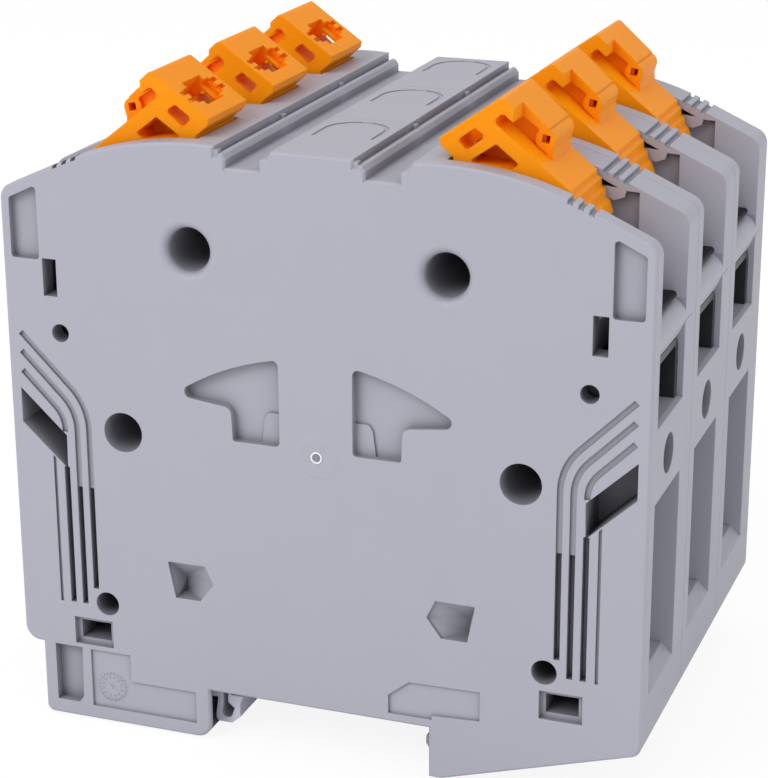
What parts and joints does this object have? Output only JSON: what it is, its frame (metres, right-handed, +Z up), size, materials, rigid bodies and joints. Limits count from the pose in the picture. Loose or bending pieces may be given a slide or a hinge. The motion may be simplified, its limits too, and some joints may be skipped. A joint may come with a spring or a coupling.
{
  "type": "high-current terminal block",
  "caption": "Rail-mounted high-current terminal block of joined poles, with a lever-operated clamp and a square wire entry at each end of every pole.",
  "frame": {"origin": "centre of the overall box at its base, under the two feet", "axes": "+X along a pole to the end on the picture's right, +Y from the first pole to the last, +Z up"},
  "size_m": [0.1036, 0.075, 0.1074],
  "materials": {
    "housing_grey": "fine moulded grain, light grey",
    "latch_grey": "smooth moulded, light grey",
    "lever_orange": "smooth moulded, satin orange",
    "copper": "plain rolled copper",
    "steel": "zinc plated steel",
    "spring_steel": "dark hardened spring strip"
  },
  "bodies": {
    "housing_row": {"housing_1": "housing_grey", "cover_1": "housing_grey", "busbar_1": "copper", "clamp_frame_right_1": "steel", "clamp_spring_right_1": "spring_steel", "clamp_frame_left_1": "steel", "clamp_spring_left_1": "spring_steel", "housing_2": "housing_grey", "cover_2": "housing_grey", "busbar_2": "copper", "clamp_frame_right_2": "steel", "clamp_spring_right_2": "spring_steel", "clamp_frame_left_2": "steel", "clamp_spring_left_2": "spring_steel", "housing_3": "housing_grey", "cover_3": "housing_grey", "busbar_3": "copper", "clamp_frame_right_3": "steel", "clamp_spring_right_3": "spring_steel", "clamp_frame_left_3": "steel", "clamp_spring_left_3": "spring_steel"},
    "rail_latch_1": {"rail_latch_1": "latch_grey"},
    "lever_right_1": {"lever_right_1": "lever_orange"},
    "clamp_jaw_right_1": {"clamp_jaw_right_1": "steel"},
    "lever_left_1": {"lever_left_1": "lever_orange"},
    "clamp_jaw_left_1": {"clamp_jaw_left_1": "steel"},
    "rail_latch_2": {"rail_latch_2": "latch_grey"},
    "lever_right_2": {"lever_right_2": "lever_orange"},
    "clamp_jaw_right_2": {"clamp_jaw_right_2": "steel"},
    "lever_left_2": {"lever_left_2": "lever_orange"},
    "clamp_jaw_left_2": {"clamp_jaw_left_2": "steel"},
    "rail_latch_3": {"rail_latch_3": "latch_grey"},
    "lever_right_3": {"lever_right_3": "lever_orange"},
    "clamp_jaw_right_3": {"clamp_jaw_right_3": "steel"},
    "lever_left_3": {"lever_left_3": "lever_orange"},
    "clamp_jaw_left_3": {"clamp_jaw_left_3": "steel"}
  },
  "joints": [
    {"name": "latch_slide_1", "type": "slide", "parent": "housing_row", "child": "rail_latch_1", "axis": [-1, 0, 0], "range_m": [0, 0.0028], "stiffness_N_per_m": 3000},
    {"name": "lever_hinge_right_1", "type": "hinge", "parent": "housing_row", "child": "lever_right_1", "pos_m": [0.0205, -0.0265, 0.0815], "axis": [0, 1, 0], "range_deg": [0, 40]},
    {"name": "jaw_lift_right_1", "type": "slide", "parent": "housing_row", "child": "clamp_jaw_right_1", "axis": [0, 0, 1], "range_m": [0, 0.0044], "deforming": ["clamp_spring_right_1"]},
    {"name": "lever_hinge_left_1", "type": "hinge", "parent": "housing_row", "child": "lever_left_1", "pos_m": [-0.0205, -0.0265, 0.0815], "axis": [0, -1, 0], "range_deg": [0, 40]},
    {"name": "jaw_lift_left_1", "type": "slide", "parent": "housing_row", "child": "clamp_jaw_left_1", "axis": [0, 0, 1], "range_m": [0, 0.0044], "deforming": ["clamp_spring_left_1"]},
    {"name": "latch_slide_2", "type": "slide", "parent": "housing_row", "child": "rail_latch_2", "axis": [-1, 0, 0], "range_m": [0, 0.0028], "stiffness_N_per_m": 3000},
    {"name": "lever_hinge_right_2", "type": "hinge", "parent": "housing_row", "child": "lever_right_2", "pos_m": [0.0205, -0.0015, 0.0815], "axis": [0, 1, 0], "range_deg": [0, 40]},
    {"name": "jaw_lift_right_2", "type": "slide", "parent": "housing_row", "child": "clamp_jaw_right_2", "axis": [0, 0, 1], "range_m": [0, 0.0044], "deforming": ["clamp_spring_right_2"]},
    {"name": "lever_hinge_left_2", "type": "hinge", "parent": "housing_row", "child": "lever_left_2", "pos_m": [-0.0205, -0.0015, 0.0815], "axis": [0, -1, 0], "range_deg": [0, 40]},
    {"name": "jaw_lift_left_2", "type": "slide", "parent": "housing_row", "child": "clamp_jaw_left_2", "axis": [0, 0, 1], "range_m": [0, 0.0044], "deforming": ["clamp_spring_left_2"]},
    {"name": "latch_slide_3", "type": "slide", "parent": "housing_row", "child": "rail_latch_3", "axis": [-1, 0, 0], "range_m": [0, 0.0028], "stiffness_N_per_m": 3000},
    {"name": "lever_hinge_right_3", "type": "hinge", "parent": "housing_row", "child": "lever_right_3", "pos_m": [0.0205, 0.0235, 0.0815], "axis": [0, 1, 0], "range_deg": [0, 40]},
    {"name": "jaw_lift_right_3", "type": "slide", "parent": "housing_row", "child": "clamp_jaw_right_3", "axis": [0, 0, 1], "range_m": [0, 0.0044], "deforming": ["clamp_spring_right_3"]},
    {"name": "lever_hinge_left_3", "type": "hinge", "parent": "housing_row", "child": "lever_left_3", "pos_m": [-0.0205, 0.0235, 0.0815], "axis": [0, -1, 0], "range_deg": [0, 40]},
    {"name": "jaw_lift_left_3", "type": "slide", "parent": "housing_row", "child": "clamp_jaw_left_3", "axis": [0, 0, 1], "range_m": [0, 0.0044], "deforming": ["clamp_spring_left_3"]}
  ],
  "couplings": [
    {"joint": "lever_hinge_right_1", "follows": "jaw_lift_right_1", "rad_per_m": 158.6},
    {"joint": "lever_hinge_left_1", "follows": "jaw_lift_left_1", "rad_per_m": 158.6},
    {"joint": "lever_hinge_right_2", "follows": "jaw_lift_right_2", "rad_per_m": 158.6},
    {"joint": "lever_hinge_left_2", "follows": "jaw_lift_left_2", "rad_per_m": 158.6},
    {"joint": "lever_hinge_right_3", "follows": "jaw_lift_right_3", "rad_per_m": 158.6},
    {"joint": "lever_hinge_left_3", "follows": "jaw_lift_left_3", "rad_per_m": 158.6}
  ]
}
